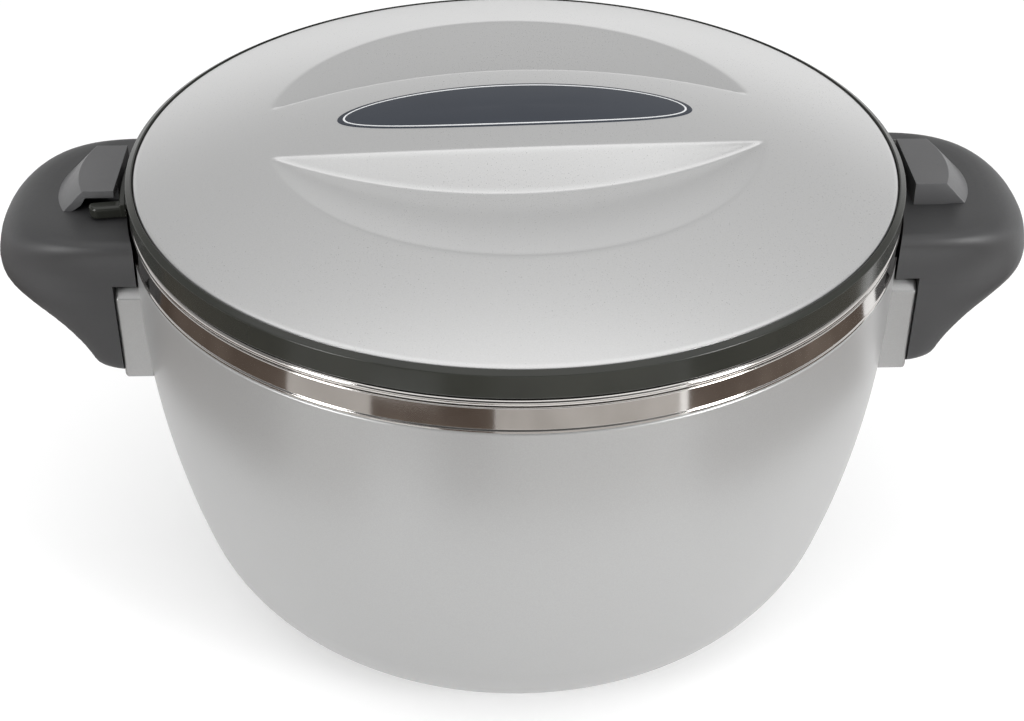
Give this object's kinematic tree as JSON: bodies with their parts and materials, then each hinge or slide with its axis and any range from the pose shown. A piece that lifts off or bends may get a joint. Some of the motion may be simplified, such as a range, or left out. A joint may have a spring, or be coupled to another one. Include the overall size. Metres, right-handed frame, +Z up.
{
  "type": "insulated chapati casserole",
  "caption": "Round double-walled casserole with a steel inner pot, moulded side handles with lock hooks, and a lift-off twist-lock lid with a bridge grip.",
  "frame": {"origin": "centre of the base ring, on the surface that the casserole stands on", "axes": "+Z up along the pot's axis; +X through the right handle; -Y towards the viewer, so the left handle is on -X"},
  "size_m": [0.36, 0.2654, 0.1834],
  "materials": {
    "shell_plastic": "silver metallic, satin",
    "pot_steel": "satin stainless steel",
    "band_steel": "polished stainless steel",
    "seal_rubber": "matte silicone",
    "foam": "rigid foam",
    "plug_plastic": "silver grey plastic",
    "handle_plastic": "dark grey, satin",
    "screw_steel": "plated steel",
    "ring_plastic": "dark olive grey, glossy",
    "plate_lacquer": "dark blue-grey lacquer with a plain white line"
  },
  "bodies": {
    "pot": {"outer_shell": "shell_plastic", "inner_pot": "pot_steel", "rim_band": "band_steel", "rim_seal": "seal_rubber", "body_insulation": "foam", "foam_fill_plug": "plug_plastic", "handle_left": "handle_plastic", "handle_right": "handle_plastic", "lock_hook_left": "handle_plastic", "lock_hook_right": "handle_plastic", "handle_screws": "screw_steel", "hook_screws": "screw_steel"},
    "lid_seal": {"lid_gasket": "seal_rubber"},
    "lid": {"lid_cover": "shell_plastic", "lid_ring": "ring_plastic", "lid_liner": "pot_steel", "lid_insulation": "foam", "name_plate": "plate_lacquer", "lid_fill_plug": "plug_plastic", "lid_screws": "screw_steel"}
  },
  "joints": [
    {"name": "lid_lift", "type": "slide", "parent": "pot", "child": "lid_seal", "axis": [0, 0, 1], "range_m": [0, 0.15]},
    {"name": "lid_turn", "type": "hinge", "parent": "lid_seal", "child": "lid", "pos_m": [0, 0, 0.166], "axis": [0, 0, 1], "range_deg": [-3.2, 162]}
  ]
}
